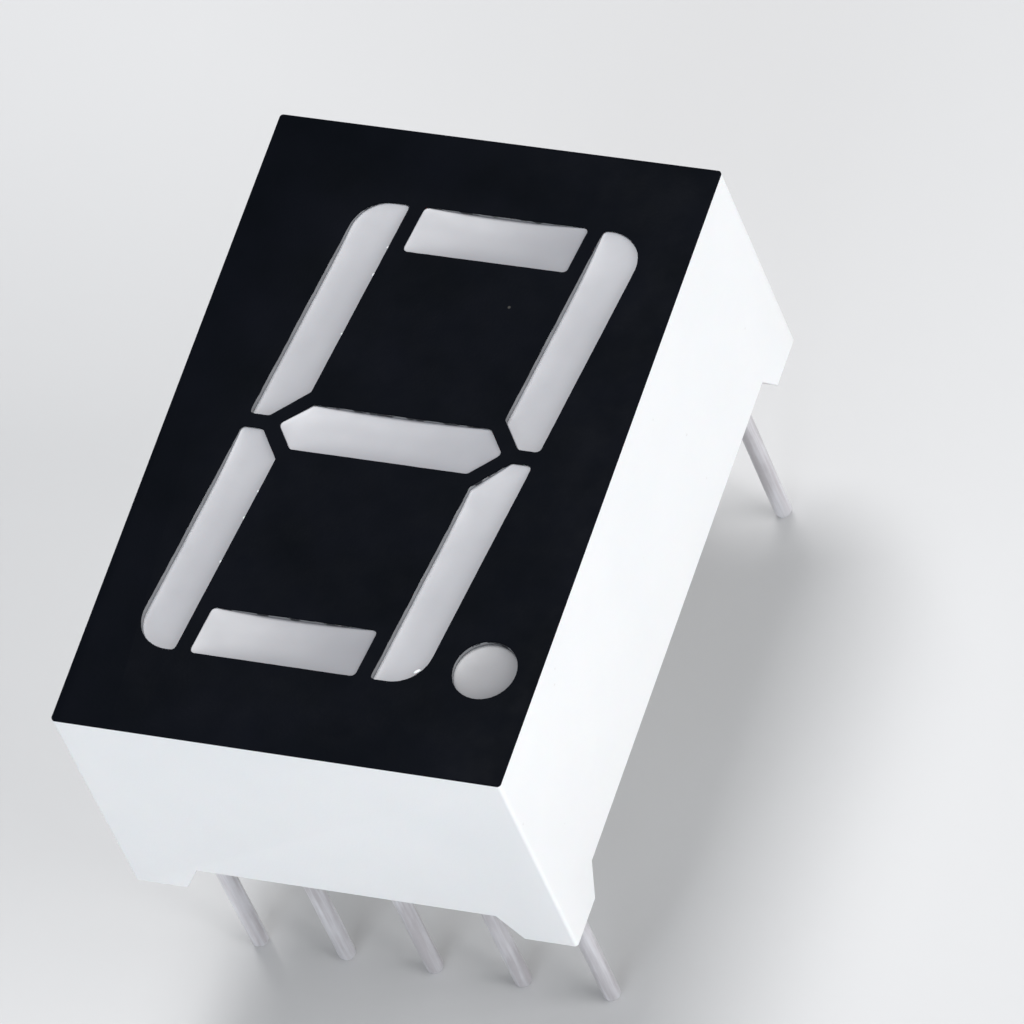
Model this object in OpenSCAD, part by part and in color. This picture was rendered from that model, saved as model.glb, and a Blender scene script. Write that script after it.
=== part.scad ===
// Single-digit seven segment display, 0.56 inch digit, ten pins.
// Origin: centre of the pin grid on the seating plane, where the four feet meet a board.
// +Z points out of the lit face, +Y up the digit, +X to the digit's right.

/* [Package] */
// Width of the housing across the digit
body_w = 12.6; // [12.2:0.1:16]
// Height of the housing along the digit
body_h = 19; // [18:0.1:26]
// Depth from the seating plane to the printed face
body_d = 8; // [6.6:0.1:12]
// Radius of the upright corners of the housing
corner_r = 0.1; // [0.05:0.05:0.5]
// Side wall where it meets the board's ledge
side_wall = 0.52; // [0.4:0.02:0.54]
// End wall where it meets the board's ledge
end_wall = 0.8; // [0.6:0.05:1]
// Mould draft of the walls' inner faces, in degrees
draft = 2.3; // [0.5:0.1:2.5]
// Radius of the inner corners of the housing
pocket_r = 0.3; // [0.1:0.05:0.5]
// Thickness of the plate behind the printed face
plate_t = 0.8; // [0.5:0.1:1.5]
// Thickness of the black print on the face
print_t = 0.05; // [0.03:0.01:0.1]

/* [Feet] */
// Height of the recessed wall edge above the seating plane
standoff = 1; // [0.6:0.1:1.1]
// Length of each foot along both walls
foot_l = 1.5; // [1:0.1:1.8]
// Length of the ramp from a foot up to the recessed edge
ramp_l = 0.55; // [0.2:0.05:0.8]

/* [Digit] */
// Height of the digit
digit_h = 14.2; // [11:0.1:14.6]
// Width of the digit before it is slanted
digit_w = 8.24; // [6.8:0.02:9]
// Slant of the digit, in degrees
slant = 7.6; // [0:0.2:10]
// Width of the upright strokes
upright_t = 1.38; // [1.2:0.02:1.7]
// Width of the level strokes
level_t = 1.44; // [1.2:0.02:1.7]
// Gap between neighbouring segments
seg_gap = 0.4; // [0.3:0.02:0.5]
// Angle of the pointed ends where three segments meet
point_angle = 48; // [40:1:55]
// Radius of the digit's four outer corners
outer_r = 1; // [0.3:0.05:1.1]
// Radius of all other window corners
window_r = 0.14; // [0.06:0.02:0.2]
// Height of the digit's centre above the centre of the face
digit_y = 0.16; // [-0.3:0.02:0.4]

/* [Decimal point] */
// Diameter of the decimal point
dot_d = 1.75; // [1.5:0.05:2]
// Distance of the decimal point to the right of the face's centre
dot_x = 4.79; // [4.6:0.05:4.9]
// Distance of the decimal point below the face's centre
dot_y = 6.21; // [6:0.05:6.3]

/* [Light wells] */
// Depth of the resin's surface below the face
recess = 0.2; // [0.1:0.02:0.4]
// Straight part of each well below the face
land = 0.8; // [0.4:0.1:1.5]
// How far each segment's well narrows on every side towards the board
well_inset = 0.3; // [0.1:0.02:0.34]
// How far the round well narrows on every side towards the board
dot_inset = 0.15; // [0.05:0.01:0.18]
// Thickness of the wells' walls
well_wall = 0.55; // [0.5:0.05:0.8]
// Width of the ledge that the board rests against
ledge = 0.5; // [0.3:0.05:0.7]

/* [Circuit board] */
// Height of the board's front face above the seating plane
board_z = 3; // [2.6:0.1:3.6]
// Thickness of the board
board_t = 1; // [0.8:0.1:1.2]
// Clearance between the board's edge and the wall
board_gap = 0.06; // [0.03:0.01:0.12]
// Thickness of the copper
copper_t = 0.035; // [0.018:0.001:0.07]
// Width of the copper tracks
track_w = 0.3; // [0.2:0.02:0.4]
// Radius of the drilled holes for the pins
hole_r = 0.45; // [0.42:0.01:0.48]
// Radius of the copper ring round each pin
ring_r = 0.62; // [0.55:0.01:0.65]
// Radius of the plated links through the board
link_r = 0.09; // [0.07:0.01:0.1]
// Width of the pads under the chips and wires
pad_w = 0.44; // [0.4:0.02:0.5]

/* [Light sources] */
// Side of each square chip
chip_w = 0.28; // [0.2:0.02:0.32]
// Height of each chip
chip_h = 0.2; // [0.15:0.01:0.3]
// Thickness of the silver glue under each chip
glue_t = 0.02; // [0.01:0.005:0.03]
// Diameter of the bond wires
wire_d = 0.03; // [0.025:0.005:0.05]
// Height that each bond wire rises above its chip
wire_rise = 0.16; // [0.1:0.02:0.3]

/* [Pins] */
// Distance between neighbouring pins
pitch = 2.54; // [2.5:0.01:2.6]
// Distance between the two rows of pins
row_gap = 15.24; // [15:0.01:15.4]
// Diameter of the pins
pin_d = 0.5; // [0.4:0.02:0.56]
// Length of the pins below the seating plane
pin_l = 6; // [3:0.1:8]
// Width of the flattened neck that grips the board
neck_w = 0.62; // [0.56:0.01:0.66]
// Thickness of the flattened neck
neck_t = 0.34; // [0.26:0.02:0.4]
// Length of the neck in front of the board
pin_head = 0.25; // [0.1:0.05:0.4]
// Clearance round the pins' heads in the housing
head_gap = 0.15; // [0.1:0.01:0.2]

/* [Back seal] */
// Height of the back seal's outer face above the recessed wall edge
seal_recess = 0.2; // [0.05:0.05:0.4]
// Height of the solder cones behind the board
solder_h = 0.5; // [0.3:0.05:0.6]

/* [Hidden] */
LIGHTS = ["a", "b", "c", "d", "e", "f", "g", "dot"];
PINS = [for (n = [1:10]) n];
// The pin that lights each of LIGHTS, counted round from the digit's lower left
PIN_OF = [7, 6, 4, 2, 1, 9, 10, 5];
COMMON_PINS = [3, 8];

$fn = 48;
A = 0; B = 1; C = 2; D = 3; E = 4; F = 5; G = 6; DOT = 7;
past = 0.1;                          // how far a cut runs past the solid
least_r = 0.03;                      // the sharpest corner of a narrowed well
half_h = digit_h / 2;
half_w = digit_w / 2;
inner_x = half_w - upright_t;        // inner edge of the upright strokes
mid_x = half_w - upright_t / 2;      // where three segments meet
point_x = seg_gap / 2 / sin(point_angle);
inner_w = body_w - 2 * side_wall;     // between the side walls at the board's front face
inner_h = body_h - 2 * end_wall;
plate_top = body_d - print_t;
core_top = plate_top - plate_t;
land_z = body_d - land;               // where the wells begin to narrow
resin_top = body_d - recess;
board_back = board_z - board_t;
seal_z = standoff + seal_recess;
neck_z = standoff;                   // the round part of a pin ends level with the recessed edge
barrel_r = hole_r - copper_t;
pad_front = 0.2;                     // length of the chip's pad ahead of the chip
pad_back = 0.55;                     // length of the chip's pad behind the chip
wire_start = 0.3;                    // from the chip to the near end of the wire's pad
wire_end = 0.68;                     // from the chip to the far end of the wire's pad
stitch = 0.38;                       // from the chip to the wire's lower end
chip_link = -0.38;                   // from the chip to the link through its pad
wire_link = 0.53;                    // from the chip to the link through the wire's pad
link_pad_r = 0.25;
glue_r = 0.62 * chip_w;               // the glue is squeezed out a little round the chip
chip_z = board_z + copper_t + glue_t;
chip_top = chip_z + chip_h;
ball_r = 1.4 * wire_d;               // the squashed ball at a bond wire's upper end
wire_steps = 10;
wire_sides = 6;
solder_lip = 0.035;                  // width of solder at a cone's tip, and of bare ring at its foot
white = [0.95, 0.95, 0.94];
black = [0.05, 0.06, 0.08];
milky = [0.78, 0.79, 0.81];
board_green = [0.16, 0.36, 0.22];
copper = [0.80, 0.50, 0.30];
tin = [0.74, 0.74, 0.77];

// ---- outlines ----------------------------------------------------------------

function unit(v) = v / norm(v);

// One corner of a convex outline that runs anticlockwise: grown by g, then rounded to r + g
function corner(before, p, after, r, g) =
    let (
        u = unit(before - p),
        v = unit(after - p),
        half = acos(u * v) / 2,
        middle = unit(u + v),
        round_r = max(r + g, least_r),
        centre = p + middle * ((round_r - g) / sin(half)),
        foot = u * (round_r / tan(half)) - middle * (round_r / sin(half)),
        start = atan2(foot.y, foot.x),
        steps = r > 0.4 ? 12 : 3
    )
    [for (k = [0:steps]) let (t = start + (180 - 2 * half) * k / steps) centre + round_r * [cos(t), sin(t)]];

// A convex outline from a list of [point, corner radius], grown by g
function outline(corners, g = 0) =
    let (n = len(corners))
    [for (i = [0:n - 1]) each corner(
        corners[(i + n - 1) % n][0], corners[i][0], corners[(i + 1) % n][0], corners[i][1], g)];

function rectangle(w, h, r) = [
    [[-w / 2, -h / 2], r], [[w / 2, -h / 2], r], [[w / 2, h / 2], r], [[-w / 2, h / 2], r]
];

function flipped(list) = [for (i = [len(list) - 1:-1:0]) list[i]];

// The upper left upright stroke, before the slant
function upright() = [
    [[-half_w, seg_gap / 2], window_r],
    [[-mid_x - point_x + seg_gap / 2 / tan(point_angle), seg_gap / 2], window_r],
    [[-inner_x, (mid_x + point_x - inner_x) * tan(point_angle)], window_r],
    [[-inner_x, half_h], window_r],
    [[-half_w, half_h], outer_r]
];

// The same stroke mirrored to the right, down, or both
function turned(sx, sy) =
    let (c = [for (q = upright()) [[q[0].x * sx, q[0].y * sy], q[1]]])
    sx * sy < 0 ? flipped(c) : c;

function level(y0, y1) =
    let (x = inner_x - seg_gap)
    [[[-x, y0], window_r], [[x, y0], window_r], [[x, y1], window_r], [[-x, y1], window_r]];

function middle_bar() =
    let (tip = mid_x - point_x, top = level_t / 2, x = tip - top / tan(point_angle))
    [
        [[-tip, 0], window_r], [[-x, -top], window_r], [[x, -top], window_r],
        [[tip, 0], window_r], [[x, top], window_r], [[-x, top], window_r]
    ];

function upright_form(i) =
    i == A ? level(half_h - level_t, half_h) :
    i == B ? turned(-1, 1) :
    i == C ? turned(-1, -1) :
    i == D ? level(-half_h, level_t - half_h) :
    i == E ? turned(1, -1) :
    i == F ? turned(1, 1) :
    middle_bar();

// A point of the upright digit, slanted and put in its place on the face
function slanted(p) = [p.x + p.y * tan(slant), p.y + digit_y];

function window(i, g = 0) = outline([for (q = upright_form(i)) [slanted(q[0]), q[1]]], g);

// ---- places ------------------------------------------------------------------

// Where each chip sits, on the middle line of its segment
function chip_at(i) =
    let (up = (half_h + seg_gap / 2) / 2, end = half_h - level_t / 2)
    i == A ? slanted([0, end]) :
    i == B ? slanted([mid_x, up]) :
    i == C ? slanted([mid_x, -up]) :
    i == D ? slanted([0, -end]) :
    i == E ? slanted([-mid_x, -up]) :
    i == F ? slanted([-mid_x, up]) :
    i == G ? slanted([0, 0]) :
    [dot_x, -dot_y];

// The direction from each chip to the far end of its bond wire
function wire_way(i) =
    i == A ? 0 :
    i == D || i == G ? 180 :
    i == B || i == F ? 90 - slant :
    i == DOT ? -90 : -90 - slant;

function along(i, s) = chip_at(i) + s * [cos(wire_way(i)), sin(wire_way(i))];

function pin_at(n) = n <= 5 ? [(n - 3) * pitch, -row_gap / 2] : [(8 - n) * pitch, row_gap / 2];

// ---- shared forms ------------------------------------------------------------

// A solid through a stack of outlines, given as [outline, height] from the bottom up
module loft(stack) {
    n = len(stack[0][0]);
    top = (len(stack) - 1) * n;
    polyhedron(
        points = [for (s = stack, p = s[0]) [p.x, p.y, s[1]]],
        faces = concat(
            [[for (i = [0:n - 1]) i]],
            [for (j = [0:len(stack) - 2], i = [0:n - 1])
                let (k = (i + 1) % n) [j * n + i, (j + 1) * n + i, (j + 1) * n + k, j * n + k]],
            [[for (i = [n - 1:-1:0]) top + i]]
        )
    );
}

module rounded_plate(w, h, r, t) {
    linear_extrude(t) {
        square([w - 2 * r, h], center = true);
        square([w, h - 2 * r], center = true);
        for (sx = [-1, 1], sy = [-1, 1])
            translate([sx * (w / 2 - r), sy * (h / 2 - r)]) circle(r);
    }
}

// The drafted inside of the walls at one height
function pocket(z) =
    let (wider = (board_z - z) * tan(draft))
    outline(rectangle(inner_w, inner_h, pocket_r), wider);

// One light well, from the board up to top
module well(i, top) {
    if (i == DOT) {
        r = dot_d / 2;
        translate(concat(chip_at(i), board_z)) cylinder(h = land_z - board_z, r1 = r - dot_inset, r2 = r);
        translate(concat(chip_at(i), land_z)) cylinder(h = top - land_z, r = r);
    } else {
        loft([[window(i, -well_inset), board_z], [window(i), land_z], [window(i), top]]);
    }
}

// ---- moulded housing ---------------------------------------------------------

// The gap under the walls between two feet, across a housing of width w
module foot_gap(w, depth) {
    x = w / 2 - foot_l;
    rotate([90, 0, 0]) translate([0, 0, -depth / 2]) linear_extrude(depth)
        polygon([[-x, -past], [x, -past], [x, 0], [x - ramp_l, standoff],
            [ramp_l - x, standoff], [-x, 0]]);
}

// How far a well has narrowed on every side at height z
function narrowing(z) = well_inset * max(0, land_z - z) / (land_z - board_z);

// A hollow between the wells, which widens towards the board as they narrow, so their walls stay even
module hollow(points) {
    corners = [for (q = points) [slanted(q), window_r]];
    loft([for (z = [board_z, core_top]) [outline(corners, narrowing(z)), z]]);
}

// The hollows: two inside the digit, one beside its upper left and one beside its lower right
module hollows() {
    x = inner_x - well_wall;
    low = level_t / 2 + well_wall;
    high = half_h - level_t - well_wall;
    outer = half_w + well_wall;
    wall = inner_w / 2 - ledge - well_inset;
    dot_top = dot_d / 2 + well_wall - dot_y - digit_y;
    lean = tan(slant);
    hollow([[-x, low], [x, low], [x, high], [-x, high]]);
    hollow([[-x, -high], [x, -high], [x, -low], [-x, -low]]);
    hollow([[-wall - low * lean, low], [-outer, low], [-outer, half_h], [-wall - half_h * lean, half_h]]);
    hollow([[outer, dot_top], [wall - dot_top * lean, dot_top], [wall + low * lean, -low], [outer, -low]]);
}

// Room for the end of a pin that stands out of the board's front face
module head_notch(n) {
    w = neck_w + 2 * head_gap;
    t = neck_t + 2 * head_gap;
    translate(concat(pin_at(n), board_z - past))
        translate([-w / 2, -t / 2]) cube([w, t, pin_head + head_gap + past]);
}

module housing() {
    color(white) difference() {
        rounded_plate(body_w, body_h, corner_r, plate_top);
        loft([[pocket(-past), -past], [pocket(board_z), board_z]]);
        foot_gap(body_w, body_h + 2 * past);
        rotate([0, 0, 90]) foot_gap(body_h, body_w + 2 * past);
        hollows();
        for (i = [A:DOT]) well(i, body_d + past);
        for (n = PINS) head_notch(n);
    }
}

module face_print() {
    color(black) translate([0, 0, plate_top]) difference() {
        rounded_plate(body_w, body_h, corner_r, print_t);
        translate([0, 0, -past]) linear_extrude(print_t + 2 * past) {
            for (i = [A:G]) polygon(window(i));
            translate(chip_at(DOT)) circle(dot_d / 2);
        }
    }
}

// ---- light sources -----------------------------------------------------------

// Puts a form at a chip, with +X towards the far end of its wire
module at_chip(i) {
    translate(concat(chip_at(i), 0)) rotate([0, 0, wire_way(i)]) children();
}

module chip(i) {
    color([0.85, 0.82, 0.55]) at_chip(i)
        translate([-chip_w / 2, -chip_w / 2, chip_z]) cube([chip_w, chip_w, chip_h]);
}

module glue_spot(i) {
    at_chip(i) translate([0, 0, board_z + copper_t])
        cylinder(h = glue_t, r = glue_r, $fn = 12);
}

module die_glue() {
    color([0.70, 0.70, 0.72]) for (i = [A:DOT]) glue_spot(i);
}

// The bond wire's middle line: [distance from the chip, height], t from 0 to 1
function wire_line(t) = [
    stitch * t,
    chip_top * (1 - t) + (board_z + copper_t) * t + 4 * wire_rise * t * (1 - t) * (1.4 - 0.8 * t)
        + wire_d / 2 * t
];

module bond_wire(i) {
    color([0.90, 0.75, 0.35]) at_chip(i) {
        wire_tube([for (k = [0:wire_steps]) wire_line(k / wire_steps)]);
        // the ball on the chip and the stitch on its pad
        translate([0, 0, chip_top]) cylinder(h = wire_d, r = ball_r, $fn = 8);
        translate([stitch - wire_d, -wire_d, board_z + copper_t]) cube([3 * wire_d, 2 * wire_d, wire_d]);
    }
}

// A tube of diameter wire_d along a path in the XZ plane
module wire_tube(path) {
    last = len(path) - 1;
    sides = wire_sides;
    ring = [for (k = [0:last])
        let (
            way = unit(path[min(k + 1, last)] - path[max(k - 1, 0)]),
            up = [-way.y, way.x]
        )
        [for (s = [0:sides - 1]) let (t = 360 * (s + 0.5) / sides, q = path[k] + up * cos(t) * wire_d / 2)
            [q.x, sin(t) * wire_d / 2, q.y]]];
    polyhedron(
        points = [for (r = ring) each r],
        faces = concat(
            [[for (s = [sides - 1:-1:0]) s]],
            [for (k = [0:last - 1], s = [0:sides - 1])
                let (a = k * sides + s, b = k * sides + (s + 1) % sides)
                each [[a, b, b + sides], [a, b + sides, a + sides]]],
            [[for (s = [0:sides - 1]) last * sides + s]]
        )
    );
}

// ---- circuit board and copper ------------------------------------------------

module circuit_board() {
    gap = 2 * board_gap;
    color(board_green) difference() {
        translate([0, 0, board_back]) rounded_plate(inner_w - gap, inner_h - gap, pocket_r, board_t);
        translate([0, 0, board_back - past]) {
            for (n = PINS) translate(pin_at(n)) cylinder(h = board_t + 2 * past, r = hole_r);
            for (i = [A:DOT], s = [chip_link, wire_link])
                translate(along(i, s)) cylinder(h = board_t + 2 * past, r = link_r);
        }
    }
}

// A track of straight legs on the back of the board
module legs(points) {
    translate([0, 0, board_back - copper_t]) linear_extrude(copper_t)
        for (k = [0:len(points) - 2]) {
            way = points[k + 1] - points[k];
            translate(points[k]) rotate(atan2(way.y, way.x)) translate([0, -track_w / 2])
                square([norm(way), track_w]);
            for (p = [points[k], points[k + 1]])
                translate(p) rotate(atan2(way.y, way.x) + 15) circle(d = track_w, $fn = 12);
        }
}

// A plated link through the board, with its small pad behind
module link(p) {
    translate(concat(p, board_back - copper_t)) {
        cylinder(h = board_t + 2 * copper_t, r = link_r);
        cylinder(h = copper_t, r = link_pad_r);
    }
}

// The plated hole of a pin, with the ring behind the board
module plated_hole(n) {
    translate(concat(pin_at(n), board_back - copper_t)) difference() {
        union() {
            cylinder(h = board_t + copper_t, r = hole_r);
            cylinder(h = copper_t, r = ring_r);
        }
        translate([0, 0, -past]) cylinder(h = board_t + copper_t + 2 * past, r = barrel_r);
    }
}

module front_pad(i, from, to) {
    at_chip(i) translate([from, -pad_w / 2, board_z]) cube([to - from, pad_w, copper_t]);
}

module hole_clear(n) {
    translate(concat(pin_at(n), board_back - copper_t - past))
        cylinder(h = copper_t + 2 * past, r = barrel_r);
}

// The track from a wire's pad to its pin
module track(i) {
    n = PIN_OF[i];
    p = along(i, wire_link);
    q = pin_at(n);
    color(copper) {
        front_pad(i, wire_start, wire_end);
        link(p);
        plated_hole(n);
        difference() {
            legs(i == G ? [p, [q.x, p.y], q] : [p, q]);
            hole_clear(n);
        }
    }
}

module common_track() {
    function tie(i) = along(i, chip_link);
    color(copper) {
        for (i = [A:DOT]) {
            front_pad(i, -pad_back, pad_front);
            link(tie(i));
        }
        for (n = COMMON_PINS) plated_hole(n);
        difference() {
            union() {
                legs([pin_at(8), tie(A), tie(G), tie(D), pin_at(3)]);
                legs([tie(F), tie(B)]);
                legs([tie(E), tie(C)]);
                legs([tie(C), [tie(DOT).x, tie(C).y], tie(DOT)]);
            }
            for (n = COMMON_PINS) hole_clear(n);
        }
    }
}

// ---- pins, solder and resins -------------------------------------------------

module pin(n) {
    r = pin_d / 2;
    color(tin) translate(concat(pin_at(n), 0)) {
        translate([0, 0, r - pin_l]) {
            sphere(r);
            cylinder(h = pin_l - r + neck_z, r = r);
        }
        translate([-neck_w / 2, -neck_t / 2, neck_z]) cube([neck_w, neck_t, board_z + pin_head - neck_z]);
    }
}

module solder_joint(n) {
    cone_z = board_back - copper_t - solder_h;
    difference() {
        translate(concat(pin_at(n), cone_z)) {
            cylinder(h = solder_h, r1 = neck_w / 2 + solder_lip, r2 = ring_r - solder_lip);
            cylinder(h = board_z - cone_z, r = barrel_r);
        }
        pin(n);
    }
}

module solder_joints() {
    color([0.66, 0.67, 0.70]) for (n = PINS) solder_joint(n);
}

// Everything that stands on the board inside one light well
module well_contents(i) {
    front_pad(i, -pad_back, pad_front);
    front_pad(i, wire_start, wire_end);
    glue_spot(i);
    chip(i);
    bond_wire(i);
}

module resin(i) {
    color(milky) difference() {
        well(i, resin_top);
        well_contents(i);
    }
}

module back_seal() {
    color([0.90, 0.90, 0.88]) difference() {
        loft([[pocket(seal_z), seal_z], [pocket(board_back), board_back]]);
        for (i = [A:DOT]) track(i);
        common_track();
        for (n = PINS) {
            solder_joint(n);
            pin(n);
        }
    }
}

// ---- nodes -------------------------------------------------------------------

housing();
face_print();
circuit_board();
back_seal();
common_track();
die_glue();
solder_joints();
for (i = [A:DOT]) {
    resin(i);
    track(i);
    chip(i);
    bond_wire(i);
}
for (n = PINS) pin(n);
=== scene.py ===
"""The looks of a single-digit seven segment display with ten pins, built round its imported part."""

import math

import bmesh
import bpy
from mathutils import Matrix, Vector, noise


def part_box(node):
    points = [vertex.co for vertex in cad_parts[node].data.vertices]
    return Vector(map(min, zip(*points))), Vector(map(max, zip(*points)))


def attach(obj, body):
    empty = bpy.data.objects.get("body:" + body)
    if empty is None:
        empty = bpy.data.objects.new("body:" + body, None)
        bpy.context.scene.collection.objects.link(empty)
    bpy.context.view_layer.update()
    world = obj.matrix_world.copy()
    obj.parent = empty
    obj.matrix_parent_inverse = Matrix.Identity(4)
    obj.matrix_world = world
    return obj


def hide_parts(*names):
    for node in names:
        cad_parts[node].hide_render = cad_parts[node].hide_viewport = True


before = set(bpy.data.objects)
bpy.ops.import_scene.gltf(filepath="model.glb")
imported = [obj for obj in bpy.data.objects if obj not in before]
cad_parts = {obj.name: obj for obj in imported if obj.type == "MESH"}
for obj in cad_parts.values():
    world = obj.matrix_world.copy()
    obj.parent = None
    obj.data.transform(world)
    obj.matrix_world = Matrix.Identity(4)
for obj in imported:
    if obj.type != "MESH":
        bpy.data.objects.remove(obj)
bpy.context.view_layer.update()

MM = 0.001
WELD = 1e-7                     # points nearer than this are one point
NEAR = 2e-6                     # how near a plane a point has to lie to be on it
FLAT = math.radians(0.3)        # faces that turn less than this are one flat face
EDGE = math.radians(30)         # edges that turn more than this are the edges of a moulding
LIGHTS = ["a", "b", "c", "d", "e", "f", "g", "dot"]
PINS = list(range(1, 11))

shell_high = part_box("housing")[1]
face_low, face_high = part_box("face_print")
seal_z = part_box("back_seal")[0].z
resin_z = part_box("resin_a")[1].z
pin_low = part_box("pin_1")[0].z


# ---- meshes ------------------------------------------------------------------


def copy_of(node):
    """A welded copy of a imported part, with its flat faces whole again."""
    bm = bmesh.new()
    bm.from_mesh(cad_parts[node].data)
    bmesh.ops.remove_doubles(bm, verts=bm.verts, dist=WELD)
    bmesh.ops.dissolve_limit(bm, angle_limit=FLAT, verts=bm.verts, edges=bm.edges)
    return bm


def new_object(name, data):
    """An object in the scene that holds this mesh, lamp or camera."""
    obj = bpy.data.objects.new(name, data)
    bpy.context.scene.collection.objects.link(obj)
    return obj


def put_piece(bm, name, node, finishes, crease=40):
    """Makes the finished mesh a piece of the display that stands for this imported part."""
    mesh = bpy.data.meshes.new(name)
    bm.normal_update()
    bm.to_mesh(mesh)
    bm.free()
    mesh.shade_smooth()
    mesh.set_sharp_from_angle(angle=math.radians(crease))
    for finish in finishes:
        mesh.materials.append(finish)
    obj = new_object(name, mesh)
    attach(obj, "root")
    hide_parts(node)


def level_faces(bm, z):
    """The faces that lie flat at height z."""
    return [f for f in bm.faces if all(abs(v.co.z - z) < NEAR for v in f.verts)]


def split_edges(bm, edges, step):
    """Splits each of these edges into even stretches of step or a little less."""
    for e in edges:
        cuts = math.ceil(e.calc_length() / step) - 1
        if cuts > 0:
            bmesh.ops.subdivide_edges(bm, edges=[e], cuts=cuts)


def round_edges(bm, edges, radius, segments):
    """Rounds these edges, as a mould or a screen of ink leaves them."""
    bmesh.ops.bevel(bm, geom=edges, offset=radius, offset_type="OFFSET", affect="EDGES",
                    segments=segments, profile=0.5, material=-1, clamp_overlap=True)


def cut_grid(bm, z, step):
    """Cuts the flat faces at height z into squares of about step."""
    for axis in (0, 1):
        across = [v.co[axis] for f in level_faces(bm, z) for v in f.verts]
        low, high = min(across), max(across)
        count = math.ceil((high - low) / step)
        for k in range(1, count):
            faces = level_faces(bm, z)
            edges = list(dict.fromkeys(e for f in faces for e in f.edges))
            verts = list(dict.fromkeys(v for f in faces for v in f.verts))
            place, way = Vector((0, 0, 0)), Vector((0, 0, 0))
            place[axis] = low + (high - low) * k / count
            way[axis] = 1
            bmesh.ops.bisect_plane(bm, geom=verts + edges + faces, dist=WELD,
                                   plane_co=place, plane_no=way)


def gap_to(p, line):
    """How far point p is from the straight stretches in line, seen from above.

    The fourth powers keep it smooth, with no crease midway between two stretches.
    """
    total = 0.0
    for a, b in line:
        ax, ay, bx, by = a.x, a.y, b.x, b.y
        dx, dy = bx - ax, by - ay
        t = max(0.0, min(1.0, ((p.x - ax) * dx + (p.y - ay) * dy) / (dx * dx + dy * dy)))
        total += max(WELD, math.hypot(p.x - ax - t * dx, p.y - ay - t * dy)) ** -4
    return total ** -0.25


def pour(bm, z, step, rise, rings=()):
    """Gives the flat faces at height z the surface of a cured liquid.

    rise(point, gap to the edge, widest gap) says how far above z that surface lies. The rings are
    the widths of even strips along the edge, and the squares of about step lie within them.
    """
    flat = dict.fromkeys(level_faces(bm, z))
    rim = dict.fromkeys(
        e for f in flat for e in f.edges if any(g not in flat for g in e.link_faces))
    line = [(e.verts[0].co.copy(), e.verts[1].co.copy()) for e in rim]
    split_edges(bm, rim, step)
    poured = {}
    for width in rings:
        strip = dict.fromkeys(bmesh.ops.inset_region(
            bm, faces=level_faces(bm, z), thickness=width, depth=0.0,
            use_boundary=True, use_even_offset=True)["faces"])
        within = {v for f in level_faces(bm, z) if f not in strip for v in f.verts}
        edge = dict.fromkeys(v for f in strip for v in f.verts if v not in within)
        for v in edge:
            v.co.z -= 2 * NEAR          # so that no later strip or square takes it in
        poured.update(edge)
    cut_grid(bm, z, step)
    poured.update(dict.fromkeys(v for f in level_faces(bm, z) for v in f.verts))
    gaps = {v: gap_to(v.co, line) for v in poured}
    widest = max(gaps.values())
    for v, gap in gaps.items():
        v.co.z = z + rise(v.co, gap, widest)
    bmesh.ops.dissolve_degenerate(bm, dist=WELD, edges=bm.edges[:])


# ---- effects shared by the finishes --------------------------------------------


def add(tree, kind, inputs=None, **settings):
    """A node with its settings, its inputs each a value or the socket that feeds it."""
    node = tree.nodes.new(kind)
    for name, value in settings.items():
        setattr(node, name, value)
    for name, value in (inputs or {}).items():
        if isinstance(value, bpy.types.NodeSocket):
            tree.links.new(value, node.inputs[name])
        else:
            node.inputs[name].default_value = value
    return node


def maths(tree, operation, *values):
    """What a Math node makes of these values and sockets."""
    return add(tree, "ShaderNodeMath", dict(enumerate(values)), operation=operation).outputs[0]


def effect(name, inputs, output):
    """An empty node group with its sockets: (group, its inputs, its outputs)."""
    group = bpy.data.node_groups.new(name, "ShaderNodeTree")
    for label, value in inputs.items():
        kind = "NodeSocketVector" if value is None else "NodeSocketFloat"
        socket = group.interface.new_socket(label, in_out="INPUT", socket_type=kind)
        if value is not None:
            socket.default_value = value
    group.interface.new_socket(output, in_out="OUTPUT", socket_type="NodeSocketFloat")
    given = group.nodes.new("NodeGroupInput").outputs
    return group, given, group.nodes.new("NodeGroupOutput").inputs


def make_mottle():
    """Soft clouds of about Size, from Low to High."""
    group, given, out = effect(
        "mottle", {"Place": None, "Size": 0.001, "Low": 0.0, "High": 1.0, "Detail": 2.0}, "Value")
    clouds = add(group, "ShaderNodeTexNoise", {
        "Vector": given["Place"], "Scale": maths(group, "DIVIDE", 1.0, given["Size"]),
        "Detail": given["Detail"], "Roughness": 0.5})
    spread = add(group, "ShaderNodeMapRange", {
        "Value": clouds.outputs["Fac"], "From Min": 0.3, "From Max": 0.7,
        "To Min": given["Low"], "To Max": given["High"]})
    group.links.new(spread.outputs["Result"], out["Value"])
    return group


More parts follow.
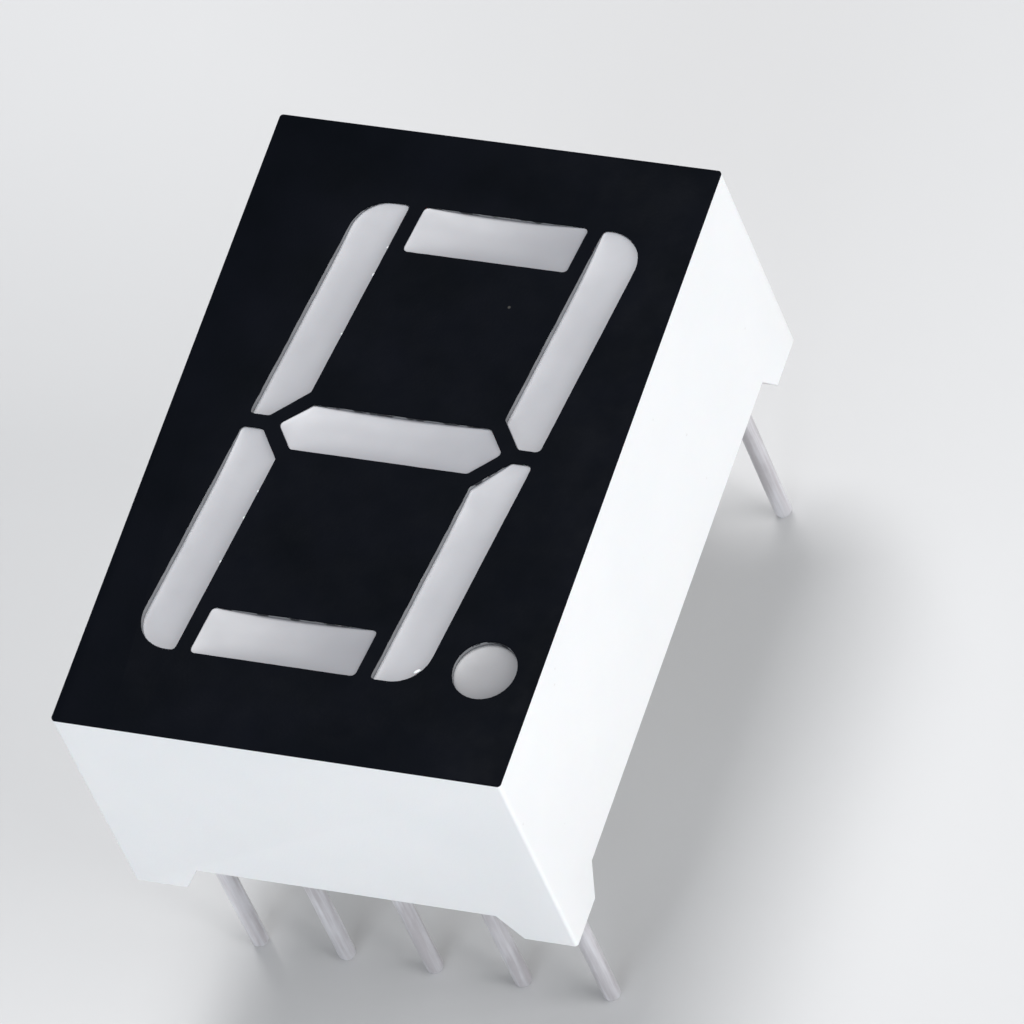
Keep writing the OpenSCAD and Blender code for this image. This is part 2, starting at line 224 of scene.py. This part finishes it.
def make_specks():
    """Scattered round specks of about Size, in that Share of the places where one could be."""
    group, given, out = effect(
        "specks", {"Place": None, "Pitch": 0.001, "Size": 0.2, "Share": 0.2}, "Mask")
    cells = add(group, "ShaderNodeTexVoronoi", {
        "Vector": given["Place"], "Scale": maths(group, "DIVIDE", 1.0, given["Pitch"]),
        "Randomness": 1.0})
    tint = add(group, "ShaderNodeSeparateColor", {"Color": cells.outputs["Color"]})
    chosen = maths(group, "LESS_THAN", tint.outputs["Red"], given["Share"])
    size = maths(group, "MULTIPLY", given["Size"], maths(group, "ADD", tint.outputs["Green"], 0.4))
    round_spot = add(group, "ShaderNodeMapRange", {
        "Value": cells.outputs["Distance"], "From Min": size,
        "From Max": maths(group, "MULTIPLY", size, 0.5)}, interpolation_type="SMOOTHSTEP")
    group.links.new(maths(group, "MULTIPLY", chosen, round_spot.outputs["Result"]), out["Mask"])
    return group


def make_drawn():
    """Fine lines along Z, as drawn wire has, Size apart and Stretch times as long."""
    group, given, out = effect(
        "drawn_lines", {"Place": None, "Size": 0.0001, "Stretch": 20.0}, "Value")
    squeeze = add(group, "ShaderNodeCombineXYZ", {
        "X": 1.0, "Y": 1.0, "Z": maths(group, "DIVIDE", 1.0, given["Stretch"])})
    place = add(group, "ShaderNodeVectorMath", {
        0: given["Place"], 1: squeeze.outputs[0]}, operation="MULTIPLY")
    lines = add(group, "ShaderNodeTexNoise", {
        "Vector": place.outputs[0], "Scale": maths(group, "DIVIDE", 1.0, given["Size"]),
        "Detail": 3.0, "Roughness": 0.6})
    group.links.new(lines.outputs["Fac"], out["Value"])
    return group


MOTTLE, SPECKS, DRAWN = make_mottle(), make_specks(), make_drawn()

# Where a Mix node of colours has its sockets
MIX_SHARE, MIX_FIRST, MIX_SECOND, MIX_RESULT = 0, 6, 7, 2


class Finish:
    """A material with its Principled shader, and short ways to reach the shared effects."""

    def __init__(self, name, **plain):
        self.material = bpy.data.materials.new(name)
        self.material.use_nodes = True
        self.tree = self.material.node_tree
        self.shader = self.tree.nodes["Principled BSDF"]
        self.place = add(self.tree, "ShaderNodeTexCoord").outputs["Object"]
        for label, value in plain.items():
            self.shader.inputs[label.replace("_", " ")].default_value = value

    def use(self, group, **values):
        """What a shared effect makes of these values."""
        values["Place"] = self.place
        return add(self.tree, "ShaderNodeGroup", values, node_tree=group).outputs[0]

    def mottle(self, size, low=0.0, high=1.0, detail=2.0):
        """Clouds of about size mm, from low to high."""
        return self.use(MOTTLE, Size=size * MM, Low=low, High=high, Detail=detail)

    def blend(self, share, first, second):
        """The first colour, and the second where share is 1."""
        inputs = {MIX_SHARE: share, MIX_FIRST: first, MIX_SECOND: second}
        for place in (MIX_FIRST, MIX_SECOND):
            if not isinstance(inputs[place], bpy.types.NodeSocket):
                inputs[place] = (*inputs[place], 1.0)
        return add(self.tree, "ShaderNodeMix", inputs, data_type="RGBA").outputs[MIX_RESULT]

    def ramp(self, value, low, high):
        """A mask that is 0 where value is low and 1 where it is high."""
        return add(self.tree, "ShaderNodeMapRange", {
            "Value": value, "From Min": low, "From Max": high}).outputs["Result"]

    def part_of(self, mask, share):
        """The mask, scaled by this share."""
        return maths(self.tree, "MULTIPLY", mask, share)

    def feed(self, label, socket):
        """Gives one of the shader's inputs what comes out of this socket."""
        self.tree.links.new(socket, self.shader.inputs[label])

    def bump(self, *layers):
        """Stacks (height, depth in mm) layers into the shader's normal."""
        normal = None
        for height, depth in layers:
            node = add(self.tree, "ShaderNodeBump", {
                "Height": height, "Distance": depth * MM, "Strength": 1.0})
            if normal is not None:
                self.tree.links.new(normal, node.inputs["Normal"])
            normal = node.outputs["Normal"]
        self.feed("Normal", normal)


# ---- finishes --------------------------------------------------------------------


def white_plastic():
    """Glass-filled white moulding: matt, very slightly cloudy, with a fine spark-eroded grain."""
    f = Finish("housing_white", IOR=1.52, Subsurface_Weight=0.06, Subsurface_Scale=0.0004)
    colour = f.blend(f.mottle(4.0), (0.855, 0.865, 0.875), (0.885, 0.89, 0.895))
    dirt = f.use(SPECKS, Pitch=0.9 * MM, Size=0.045, Share=0.12)
    f.feed("Base Color", f.blend(f.part_of(dirt, 0.35), colour, (0.55, 0.53, 0.50)))
    f.feed("Roughness", f.mottle(0.25, 0.42, 0.55))
    f.bump((f.mottle(3.5), 0.006), (f.mottle(0.06, detail=3.0), 0.0016))
    return f.material


def well_wall(name, run):
    """The white plastic just inside a window, painted grey for the shade that falls in the well. Ink
    ran down it by about run mm; where run is long, that ink is partly painted shade.
    """
    f = Finish(name, IOR=1.52)
    height = add(f.tree, "ShaderNodeSeparateXYZ", {"Vector": f.place}).outputs["Z"]
    depth = maths(f.tree, "DIVIDE", maths(f.tree, "SUBTRACT", face_low.z, height), run * MM)
    # ink from the face downwards, partly painted shade where run is long; below it a painted grey
    # shade
    ink = f.ramp(maths(f.tree, "SUBTRACT", f.mottle(0.4, detail=3.0), depth), 0.38, 0.48)
    grey = f.blend(f.mottle(0.5), (0.21, 0.213, 0.223), (0.27, 0.274, 0.285))
    f.feed("Base Color", f.blend(ink, grey, (0.02, 0.021, 0.026)))
    f.feed("Roughness", f.mottle(0.3, 0.45, 0.6))
    f.bump((f.mottle(0.12), 0.003))
    return f.material


def black_ink():
    """Screen-printed black ink: even and nearly matt, with dust specks and faint scuffs."""
    f = Finish("face_ink", IOR=1.5, Specular_IOR_Level=0.02)
    tones = (0.0017, 0.0025, 0.0042), (0.0030, 0.0038, 0.0066)
    colour = f.blend(f.mottle(2.2, detail=4.0), *tones)
    dust = f.use(SPECKS, Pitch=1.9 * MM, Size=0.035, Share=0.28)
    f.feed("Base Color", f.blend(f.part_of(dust, 0.5), colour, (0.10, 0.095, 0.085)))
    f.feed("Roughness", f.mottle(0.7, 0.44, 0.56, 3.0))
    f.bump((f.mottle(0.09), 0.0012))
    return f.material


def milky_resin(name, milk_and_shade):
    """Cast epoxy with a soft sheen, slightly uneven. The second value scales its colour: higher for
    more white filler, lower to paint shade on a lump.
    """
    f = Finish(name, IOR=1.53, Specular_IOR_Level=1.0, Subsurface_Weight=0.05,
               Subsurface_Scale=0.0003)
    tones = (0.262, 0.264, 0.290), (0.276, 0.278, 0.304)
    f.feed("Base Color", f.blend(f.mottle(0.9), *[[milk_and_shade * c for c in tone] for tone in tones]))
    f.feed("Roughness", f.mottle(0.8, 0.39, 0.43))
    f.bump((f.mottle(1.6), 0.001))
    return f.material


def seal_epoxy():
    """The resin poured over the back: off-white, glossy, with small burst bubbles."""
    f = Finish("seal_resin", IOR=1.53, Subsurface_Weight=0.08, Subsurface_Scale=0.0006)
    colour = f.blend(f.mottle(2.4), (0.70, 0.70, 0.67), (0.78, 0.775, 0.745))
    bubbles = f.use(SPECKS, Pitch=1.3 * MM, Size=0.10, Share=0.16)
    # the burst bubbles' pits are painted darker, as painted shade in them
    f.feed("Base Color", f.blend(f.part_of(bubbles, 0.3), colour, (0.42, 0.41, 0.38)))
    f.feed("Roughness", f.mottle(0.8, 0.22, 0.36))
    f.bump((f.mottle(1.8), 0.02), (f.part_of(bubbles, -1.0), 0.03))
    return f.material


def tinned_wire():
    """Drawn wire with a dull tin coat: fine lines along it, and darker streaks that are partly stain
    and partly painted reflection.
    """
    f = Finish("tinned_wire", Metallic=0.8)
    lines = f.use(DRAWN, Size=0.06 * MM, Stretch=30.0)
    base = f.blend(lines, (0.86, 0.86, 0.90), (0.97, 0.97, 1.0))
    # darker streaks along the wire: partly stain, partly painted reflection
    streaks = f.use(DRAWN, Size=0.16 * MM, Stretch=20.0)
    stain_and_reflection = f.ramp(maths(f.tree, "MULTIPLY", streaks, f.mottle(3.0, 0.5, 1.1)), 0.2, 0.5)
    f.feed("Base Color", f.blend(f.part_of(stain_and_reflection, 0.55), base, (0.47, 0.43, 0.44)))
    f.feed("Roughness", f.mottle(0.22, 0.42, 0.58, 3.0))
    f.bump((lines, 0.004), (f.mottle(0.12, detail=3.0), 0.003))
    return f.material


def board_laminate():
    """Glass cloth laminate under green mask."""
    f = Finish("board", IOR=1.5)
    weave = add(f.tree, "ShaderNodeTexBrick", {
        "Vector": f.place, "Scale": 1600.0, "Mortar Size": 0.06, "Brick Width": 0.5,
        "Row Height": 0.5, "Color1": (0.05, 0.20, 0.09, 1), "Color2": (0.06, 0.23, 0.10, 1),
        "Mortar": (0.04, 0.16, 0.07, 1)})
    f.feed("Base Color", weave.outputs["Color"])
    f.feed("Roughness", f.mottle(0.8, 0.34, 0.46))
    f.bump((weave.outputs["Fac"], -0.006))
    return f.material


def worked_metal(name, dull, bright, rough, grain):
    """A soft metal from dull to bright, with a grain of that many mm and roughness in that range."""
    f = Finish(name, Metallic=1.0)
    f.feed("Base Color", f.blend(f.mottle(grain * 4, detail=3.0), dull, bright))
    f.feed("Roughness", f.mottle(grain, *rough, 3.0))
    f.bump((f.mottle(grain, detail=3.0), grain * 0.03))
    return f.material


def chip_crystal():
    """The pale yellow crystal of a light-emitting chip."""
    f = Finish("chip", IOR=2.4)
    f.feed("Base Color", f.blend(f.mottle(0.1), (0.55, 0.50, 0.22), (0.66, 0.60, 0.30)))
    f.feed("Roughness", f.mottle(0.05, 0.15, 0.3))
    return f.material


def floor_card():
    """Matt off-white card under the display."""
    f = Finish("floor_card")
    f.feed("Base Color", f.blend(f.mottle(25.0), (0.60, 0.60, 0.605), (0.62, 0.62, 0.625)))
    f.feed("Roughness", f.mottle(6.0, 0.75, 0.85))
    return f.material


WHITE, INK = white_plastic(), black_ink()
# the wells' walls in painted grey shade; the second has ink far down the walls that face the front,
# partly painted shade
SHADED_WELL, INKED_SHADED_WELL = well_wall("well_wall", 0.05), well_wall("inked_well_wall", 0.30)
MILK_AND_SHADE = dict.fromkeys(LIGHTS, 1.03)
MILK_AND_SHADE.update(a=0.94, d=0.88, dot=0.52)           # the lumps whose resin is made darker than the rest, as painted shade
RESIN = {light: milky_resin("segment_resin_" + light, MILK_AND_SHADE[light]) for light in LIGHTS}
SEAL, TIN = seal_epoxy(), tinned_wire()
COPPER = worked_metal("copper", (0.62, 0.30, 0.17), (0.80, 0.43, 0.26), (0.25, 0.4), 0.04)
SILVER = worked_metal("silver_glue", (0.52, 0.52, 0.52), (0.70, 0.70, 0.69), (0.45, 0.6), 0.02)
SOLDER = worked_metal("solder", (0.50, 0.51, 0.53), (0.72, 0.73, 0.75), (0.2, 0.4), 0.08)
GOLD = worked_metal("gold_wire", (0.78, 0.55, 0.18), (0.95, 0.72, 0.30), (0.15, 0.25), 0.01)


# ---- housing and face --------------------------------------------------------------

CORNER_R = 0.11 * MM            # a little more than the radius of the housing's upright corners
OUTER_WALL = 0.5 * MM           # the wells lie further in from the outside than this
STEEP = 0.2                     # the most that the normal of a well's wall has in Z
INKED_SIDE = -0.7               # the normal's Y below which ink runs far down a well's wall, on walls that face the front, partly as painted shade
FEET_TOP = 1.3 * MM             # the feet and the edge between them lie below this height
MOULD_R = 0.03 * MM             # how round the mould leaves the housing's lower edges
INK_R = 0.025 * MM              # how round the print is at its outer edge
INK_STEP = 0.12 * MM            # the windows' edges wander in stretches of this length
INK_WANDER = 0.004 * MM         # how far they wander
FINE, BROAD = 0.22 * MM, 1.1 * MM       # the two sizes of wander

# White lumps on the window walls that paint the bright glints at the windows' edges, as painted
# highlights: the place as shares of the face's half width and half height, the half length in mm,
# and the way it runs in degrees from the X axis
GLINT_BURRS = [
    (-0.3177, 0.622, 0.04, 82.4), (-0.3362, 0.530, 0.06, 82.4), (-0.3767, 0.329, 0.04, 82.4),
    (-0.4829, -0.200, 0.04, 82.4), (-0.5005, -0.288, 0.06, 82.4), (-0.5302, -0.434, 0.05, 82.4),
    (0.474, -0.684, 0.11, 40),
]
GLINT_BURR_W, GLINT_BURR_H = 0.055 * MM, 0.03 * MM          # their half width and half height


def is_further_in(co, reach):
    """Whether a point lies further in than reach from all of the housing's outer walls."""
    return abs(co.x) < shell_high.x - reach and abs(co.y) < shell_high.y - reach


def on_outside(co):
    """Whether a point lies on the housing's outer walls, corners included."""
    at_corner = abs(co.x) > shell_high.x - CORNER_R and abs(co.y) > shell_high.y - CORNER_R
    return at_corner or not is_further_in(co, NEAR)


def add_glint_burrs(bm):
    """Small rounded lips of white plastic, just below the ink, that paint glints as highlights."""
    for across, up, reach, way in GLINT_BURRS:
        place = Vector((across * face_high.x, up * face_high.y, face_low.z - GLINT_BURR_H))
        turn = Matrix.Rotation(math.radians(way), 4, "Z")
        size = Matrix.Diagonal((reach * MM, GLINT_BURR_W, GLINT_BURR_H, 1))
        bmesh.ops.create_icosphere(bm, subdivisions=2, radius=1.0,
                                   matrix=Matrix.Translation(place) @ turn @ size)


def housing():
    """The white moulding, with its lower edges rounded and painted grey shade on the wells' walls.
    """
    bm = copy_of("housing")
    finishes = [WHITE, SHADED_WELL, INKED_SHADED_WELL]
    outer = [
        e for e in bm.edges
        if len(e.link_faces) == 2 and e.calc_face_angle() > EDGE
        and all(on_outside(v.co) and v.co.z < FEET_TOP for v in e.verts)
    ]
    round_edges(bm, outer, MOULD_R, 3)
    # the wells' walls get painted grey shade, and those that face the front get ink far down them,
    # partly painted shade
    for f in bm.faces:
        at_face = max(v.co.z for v in f.verts) > shell_high.z - NEAR
        far_in = is_further_in(f.calc_center_median(), OUTER_WALL)
        if at_face and far_in and abs(f.normal.z) < STEEP:
            f.material_index = finishes.index(INKED_SHADED_WELL if f.normal.y < INKED_SIDE else SHADED_WELL)
    # white lumps as painted highlights where glints show at the windows' edges
    add_glint_burrs(bm)
    put_piece(bm, "housing_shell", "housing", finishes)


def ink_face():
    """The black print: a soft outer edge, and window edges that wander as ink does."""
    bm = copy_of("face_print")
    top = set(level_faces(bm, face_high.z))
    bmesh.ops.delete(bm, geom=[f for f in bm.faces if f not in top], context="FACES")
    split_edges(bm, [e for e in bm.edges if e.is_boundary], INK_STEP)
    moves = {}
    for v in bm.verts:
        ends = [e.other_vert(v) for e in v.link_edges if e.is_boundary]
        if len(ends) == 2 and not on_outside(v.co):
            side = (ends[0].co - ends[1].co).cross(Vector((0, 0, 1))).normalized()
            moves[v] = side * (noise.noise(v.co / FINE) + noise.noise(v.co / BROAD)) * INK_WANDER
    for v, move in moves.items():
        v.co += move
    lower = bmesh.ops.extrude_face_region(bm, geom=bm.faces[:])["geom"]
    bmesh.ops.translate(bm, verts=[g for g in lower if isinstance(g, bmesh.types.BMVert)],
                        vec=(0, 0, face_low.z - face_high.z))
    bmesh.ops.recalc_face_normals(bm, faces=bm.faces)
    outer = [
        e for e in bm.edges
        if all(on_outside(v.co) and abs(v.co.z - face_high.z) < NEAR for v in e.verts)
        and e.calc_face_angle(0.0) > EDGE
    ]
    round_edges(bm, outer, INK_R, 2)
    put_piece(bm, "face_ink", "face_print", [INK], 50)


housing()
ink_face()


# ---- resins --------------------------------------------------------------------------

SLANT = math.tan(math.radians(7.6))     # how far the uprights lean
ROUND, LEVEL, UPRIGHT = "round", "level", "upright"
# How the top of each kind of lump lies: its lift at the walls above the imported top, its sag
# between them and how far it shrank in the middle of its length, all in mm, and then the power
# by which that hollow fades towards the ends
TOPS = {
    ROUND: (0.04, 0.016, 0.03, 2),
    LEVEL: (0.165, 0.010, 0.13, 2),
    UPRIGHT: (0.14, 0.016, 0.15, 3),
}
CLIMB, CLIMB_REACH = 0.008 * MM, 0.035 * MM     # how high resin climbs its walls, and how far in
CLIMB_SIDE = 0.2 * MM                   # this far off the middle line, the climb is full or least
CLIMB_WANDER = 0.25 * MM                # the size of the climb's unevenness
RESIN_STEP = 0.09 * MM
RESIN_RINGS = (0.02 * MM, 0.03 * MM, 0.04 * MM)
SEAL_STEP = 0.2 * MM
SEAL_CLIMB, SEAL_REACH = 0.16 * MM, 0.22 * MM   # how high the seal climbs, and how far in


def segment_resin(light):
    """One lump of resin, which shrank most in the middle of its length and wets its walls."""
    bm = copy_of("resin_" + light)
    low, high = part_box("resin_" + light)
    middle, half = (low + high) / 2, (high - low) / 2
    kind = ROUND if light == "dot" else LEVEL if half.x > half.y else UPRIGHT
    lift, sag, shrink, power = TOPS[kind]

    def rise(p, gap, widest):
        x, y = (p.x - middle.x) / half.x, (p.y - middle.y) / half.y
        along = math.hypot(x, y) if kind == ROUND else abs(x) if kind == LEVEL else max(0.0, y)
        inward = 1 - (1 - gap / widest) ** 2
        across = 0.8 + 0.2 * inward if kind == LEVEL else 1.0
        hollow = shrink * MM * (1 - along ** power) * across
        off_centre = y * half.y if kind == LEVEL else SLANT * y * half.y - x * half.x
        high_side = 0.6 + 0.4 * max(-1.0, min(1.0, off_centre / CLIMB_SIDE))
        uneven = 1 + 0.3 * noise.noise(p / CLIMB_WANDER)
        wetting = CLIMB * high_side * uneven * math.exp(-gap / CLIMB_REACH)
        return lift * MM + wetting - sag * MM * inward - hollow

    pour(bm, resin_z, RESIN_STEP, rise, RESIN_RINGS)
    put_piece(bm, f"resin_{light}_cast", "resin_" + light, [RESIN[light]], 60)


def back_seal():
    """The seal over the back, with a low fillet where it wets the walls and the pins."""
    bm = copy_of("back_seal")
    pour(bm, seal_z, SEAL_STEP,
         lambda p, gap, widest: -SEAL_CLIMB * math.exp(-gap / SEAL_REACH))
    put_piece(bm, "seal_poured", "back_seal", [SEAL], 50)


for light in LIGHTS:
    segment_resin(light)
back_seal()


# ---- pins ----------------------------------------------------------------------------

NECK_Z = 1.0 * MM               # the round part of a pin ends level with the recessed wall edge
NECK_T = 0.34 * MM              # thickness of its flattened neck
TIP = 0.9                       # how long a pin's worn tip is, in radii
TIP_RINGS, WIRE_RINGS, WIRE_SIDES = 6, 24, 32
LUMPS_ROUND, LUMPS_ALONG = 2500, 700    # how many lumps the tin has in a metre
OWN_LUMPS = 31                  # how far apart the pins' patterns of lumps are taken
WEAR, LUMP = 0.02, 0.03         # shares of the radius that wear and a hollow in the tin take off


def pin(n):
    """Round tinned wire with a worn tip. Its flattened neck runs into the seal and the board."""
    low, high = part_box(f"pin_{n}")
    middle, size = (low + high) / 2, high - low
    radius = size.y / 2
    turns = [math.pi / 2 * k / TIP_RINGS for k in range(TIP_RINGS + 1)]
    outline = [(math.sin(t) * radius, low.z + TIP * (1 - math.cos(t)) * radius) for t in turns]
    start = outline[-1][1]
    outline += [
        (radius, start + (NECK_Z - start) * k / WIRE_RINGS) for k in range(1, WIRE_RINGS + 1)]
    outline.append((0.0, NECK_Z))
    bm = bmesh.new()
    verts = [bm.verts.new((r, 0, z)) for r, z in outline]
    edges = [bm.edges.new(pair) for pair in zip(verts, verts[1:])]
    bmesh.ops.spin(bm, geom=verts + edges, cent=(0, 0, 0), axis=(0, 0, 1), dvec=(0, 0, 0),
                   angle=math.tau, steps=WIRE_SIDES, use_merge=True, use_duplicate=False)
    bmesh.ops.remove_doubles(bm, verts=bm.verts, dist=WELD)
    for v in bm.verts:
        out = Vector((v.co.x, v.co.y, 0))
        if out.length > WELD and v.co.z < NECK_Z - WELD:
            lump = noise.noise(Vector((
                v.co.x * LUMPS_ROUND + OWN_LUMPS * n, v.co.y * LUMPS_ROUND, v.co.z * LUMPS_ALONG)))
            v.co -= out * max(0.0, WEAR + LUMP * lump)
    neck = bmesh.ops.create_cube(bm, size=1.0)["verts"]
    bmesh.ops.scale(bm, verts=neck, vec=(size.x, NECK_T, high.z - NECK_Z))
    bmesh.ops.translate(bm, verts=neck, vec=(0, 0, (high.z + NECK_Z) / 2))
    bmesh.ops.translate(bm, verts=bm.verts, vec=(middle.x, middle.y, 0))
    bmesh.ops.recalc_face_normals(bm, faces=bm.faces)
    put_piece(bm, f"pin_{n}_wire", f"pin_{n}", [TIN], 45)


for n in PINS:
    pin(n)


# ---- hidden parts ----------------------------------------------------------------------

CHIP = chip_crystal()
FINISH_OF = {
    "circuit_board": board_laminate(), "common_track": COPPER, "die_glue": SILVER,
    "solder_joints": SOLDER,
}
for light in LIGHTS:
    FINISH_OF["track_" + light] = COPPER
    FINISH_OF["chip_" + light] = CHIP
    FINISH_OF["bond_wire_" + light] = GOLD
for node, finish in FINISH_OF.items():
    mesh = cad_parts[node].data
    mesh.materials.clear()
    mesh.materials.append(finish)


# ---- floor, lights and camera ------------------------------------------------------------

FLOOR_HALF = 2.5                # from the middle of the floor to its edge, in metres
LAMPS = [                       # name, place in metres, power in watts, side in metres, colour
    ("key", (-0.073, 0.175, 0.5375), 2.2, 0.22, (1, 1, 1)),
    ("right", (0.55, -0.05, 0.28), 2.4, 0.40, (1, 1, 1)),
    ("front", (0.02, -0.60, 0.22), 1.45, 0.40, (0.88, 0.94, 1.0)),
]
WORLD_COLOUR, WORLD_STRENGTH = (0.95, 0.97, 1.0, 1.0), 0.35
CAMERA_PLACE = Vector((136.904, -164.569, 294.103)) * MM
CAMERA_AIM = Vector((1.0652, 2.0965, 1.7002)) * MM
CAMERA_ROLL = math.radians(-25.293)
SENSOR, LENS = 36.0, 485.137            # in mm
CLIP_START = 0.01                       # in metres


def floor():
    """A wide sheet of card that the pins stand on."""
    bm = bmesh.new()
    bmesh.ops.create_grid(bm, x_segments=2, y_segments=2, size=FLOOR_HALF)
    bmesh.ops.translate(bm, verts=bm.verts, vec=(0, 0, pin_low))
    mesh = bpy.data.meshes.new("floor")
    bm.to_mesh(mesh)
    bm.free()
    mesh.materials.append(floor_card())
    new_object("floor", mesh)


def lamp(name, place, power, side, colour):
    """A square soft lamp that faces the display."""
    light = bpy.data.lights.new(name, "AREA")
    light.energy, light.size, light.color = power, side, colour
    obj = new_object(name, light)
    obj.location = place
    obj.rotation_euler = Vector(place).to_track_quat("Z", "Y").to_euler()


def studio():
    """Even, slightly cool light from all round."""
    world = bpy.data.worlds.new("studio")
    world.use_nodes = True
    sky = world.node_tree.nodes["Background"].inputs
    sky["Color"].default_value = WORLD_COLOUR
    sky["Strength"].default_value = WORLD_STRENGTH
    bpy.context.scene.world = world


def camera():
    """Looks down on the lit face from the lower right, rolled so that the digit leans."""
    data = bpy.data.cameras.new("camera")
    data.sensor_width, data.lens, data.clip_start = SENSOR, LENS, CLIP_START
    obj = new_object("camera", data)
    look = (CAMERA_AIM - CAMERA_PLACE).to_track_quat("-Z", "Y").to_matrix()
    turn = look @ Matrix.Rotation(CAMERA_ROLL, 3, "Z")
    obj.matrix_world = Matrix.Translation(CAMERA_PLACE) @ turn.to_4x4()
    bpy.context.scene.camera = obj


floor()
for values in LAMPS:
    lamp(*values)
studio()
bpy.context.scene.view_settings.view_transform = "Standard"
camera()
